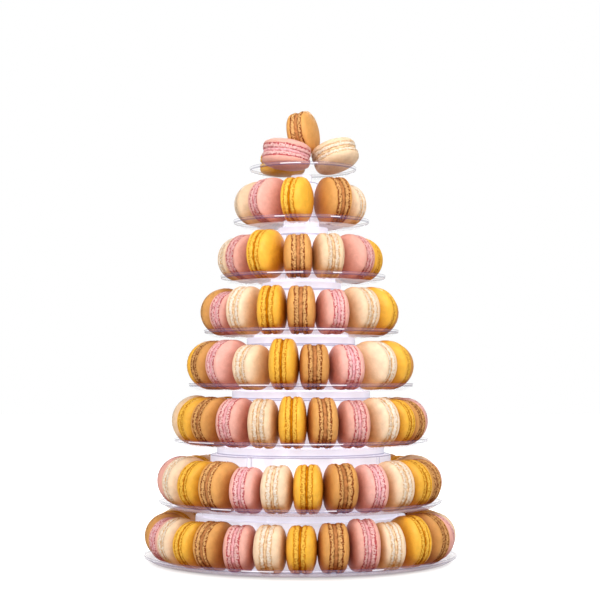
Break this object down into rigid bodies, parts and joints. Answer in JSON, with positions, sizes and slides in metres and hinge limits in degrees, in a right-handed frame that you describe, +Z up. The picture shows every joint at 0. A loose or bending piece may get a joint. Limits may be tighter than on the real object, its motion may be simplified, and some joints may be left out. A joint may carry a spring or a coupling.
{
  "type": "macaron tower",
  "caption": "Tiered clear formed stand of round trays on hollow hubs, each ring filled with macarons on edge and a few lying on the top tray.",
  "frame": {"origin": "on the table, at the centre of the lowest tray", "axes": "+Z up through the stack of hubs; -Y towards the viewer of the picture; +X to that viewer's right"},
  "size_m": [0.3012, 0.3012, 0.4342],
  "materials": {
    "clear_sheet": "clear thin formed sheet",
    "macaron_mixed": "matte baked shells in pink, cream, yellow and brown",
    "macaron_pink": "matte baked shell, pitted foot, pink filling",
    "macaron_cream": "matte baked shell, pitted foot, pale filling",
    "macaron_yellow": "matte baked shell, pitted foot, yellow filling",
    "macaron_brown": "matte baked shell, pitted foot, beige filling"
  },
  "bodies": {
    "root": {"tray_1": "clear_sheet", "tray_2": "clear_sheet", "tray_3": "clear_sheet", "tray_4": "clear_sheet", "tray_5": "clear_sheet", "tray_6": "clear_sheet", "tray_7": "clear_sheet", "tray_8": "clear_sheet", "macarons_1_01": "macaron_mixed", "macarons_1_02": "macaron_mixed", "macarons_1_03": "macaron_mixed", "macarons_1_04": "macaron_mixed", "macarons_1_05": "macaron_mixed", "macarons_1_06": "macaron_mixed", "macarons_1_07": "macaron_mixed", "macarons_1_08": "macaron_mixed", "macarons_2_01": "macaron_mixed", "macarons_2_02": "macaron_mixed", "macarons_2_03": "macaron_mixed", "macarons_2_04": "macaron_mixed", "macarons_2_05": "macaron_mixed", "macarons_2_06": "macaron_mixed", "macarons_2_07": "macaron_mixed", "macarons_3_01": "macaron_mixed", "macarons_3_02": "macaron_mixed", "macarons_3_03": "macaron_mixed", "macarons_3_04": "macaron_mixed", "macarons_3_05": "macaron_mixed", "macarons_3_06": "macaron_mixed", "macarons_3_07": "macaron_mixed", "macarons_3_08": "macaron_mixed", "macarons_4_01": "macaron_mixed", "macarons_4_02": "macaron_mixed", "macarons_4_03": "macaron_mixed", "macarons_4_04": "macaron_mixed", "macarons_4_05": "macaron_mixed", "macarons_4_06": "macaron_mixed", "macarons_5_01": "macaron_mixed", "macarons_5_02": "macaron_mixed", "macarons_5_03": "macaron_mixed", "macarons_5_04": "macaron_mixed", "macarons_5_05": "macaron_mixed", "macarons_5_06": "macaron_mixed", "macarons_6_01": "macaron_mixed", "macarons_6_02": "macaron_mixed", "macarons_6_03": "macaron_mixed", "macarons_6_04": "macaron_mixed", "macarons_7_01": "macaron_cream", "macarons_7_02": "macaron_pink", "macarons_7_03": "macaron_yellow", "macarons_7_04": "macaron_brown", "macarons_7_05": "macaron_cream", "macarons_7_06": "macaron_pink", "macarons_7_07": "macaron_yellow", "macarons_7_08": "macaron_brown", "macaron_top_pink": "macaron_pink", "macaron_top_yellow": "macaron_yellow", "macaron_top_cream": "macaron_cream", "macaron_top_brown": "macaron_brown"}
  },
  "joints": []
}
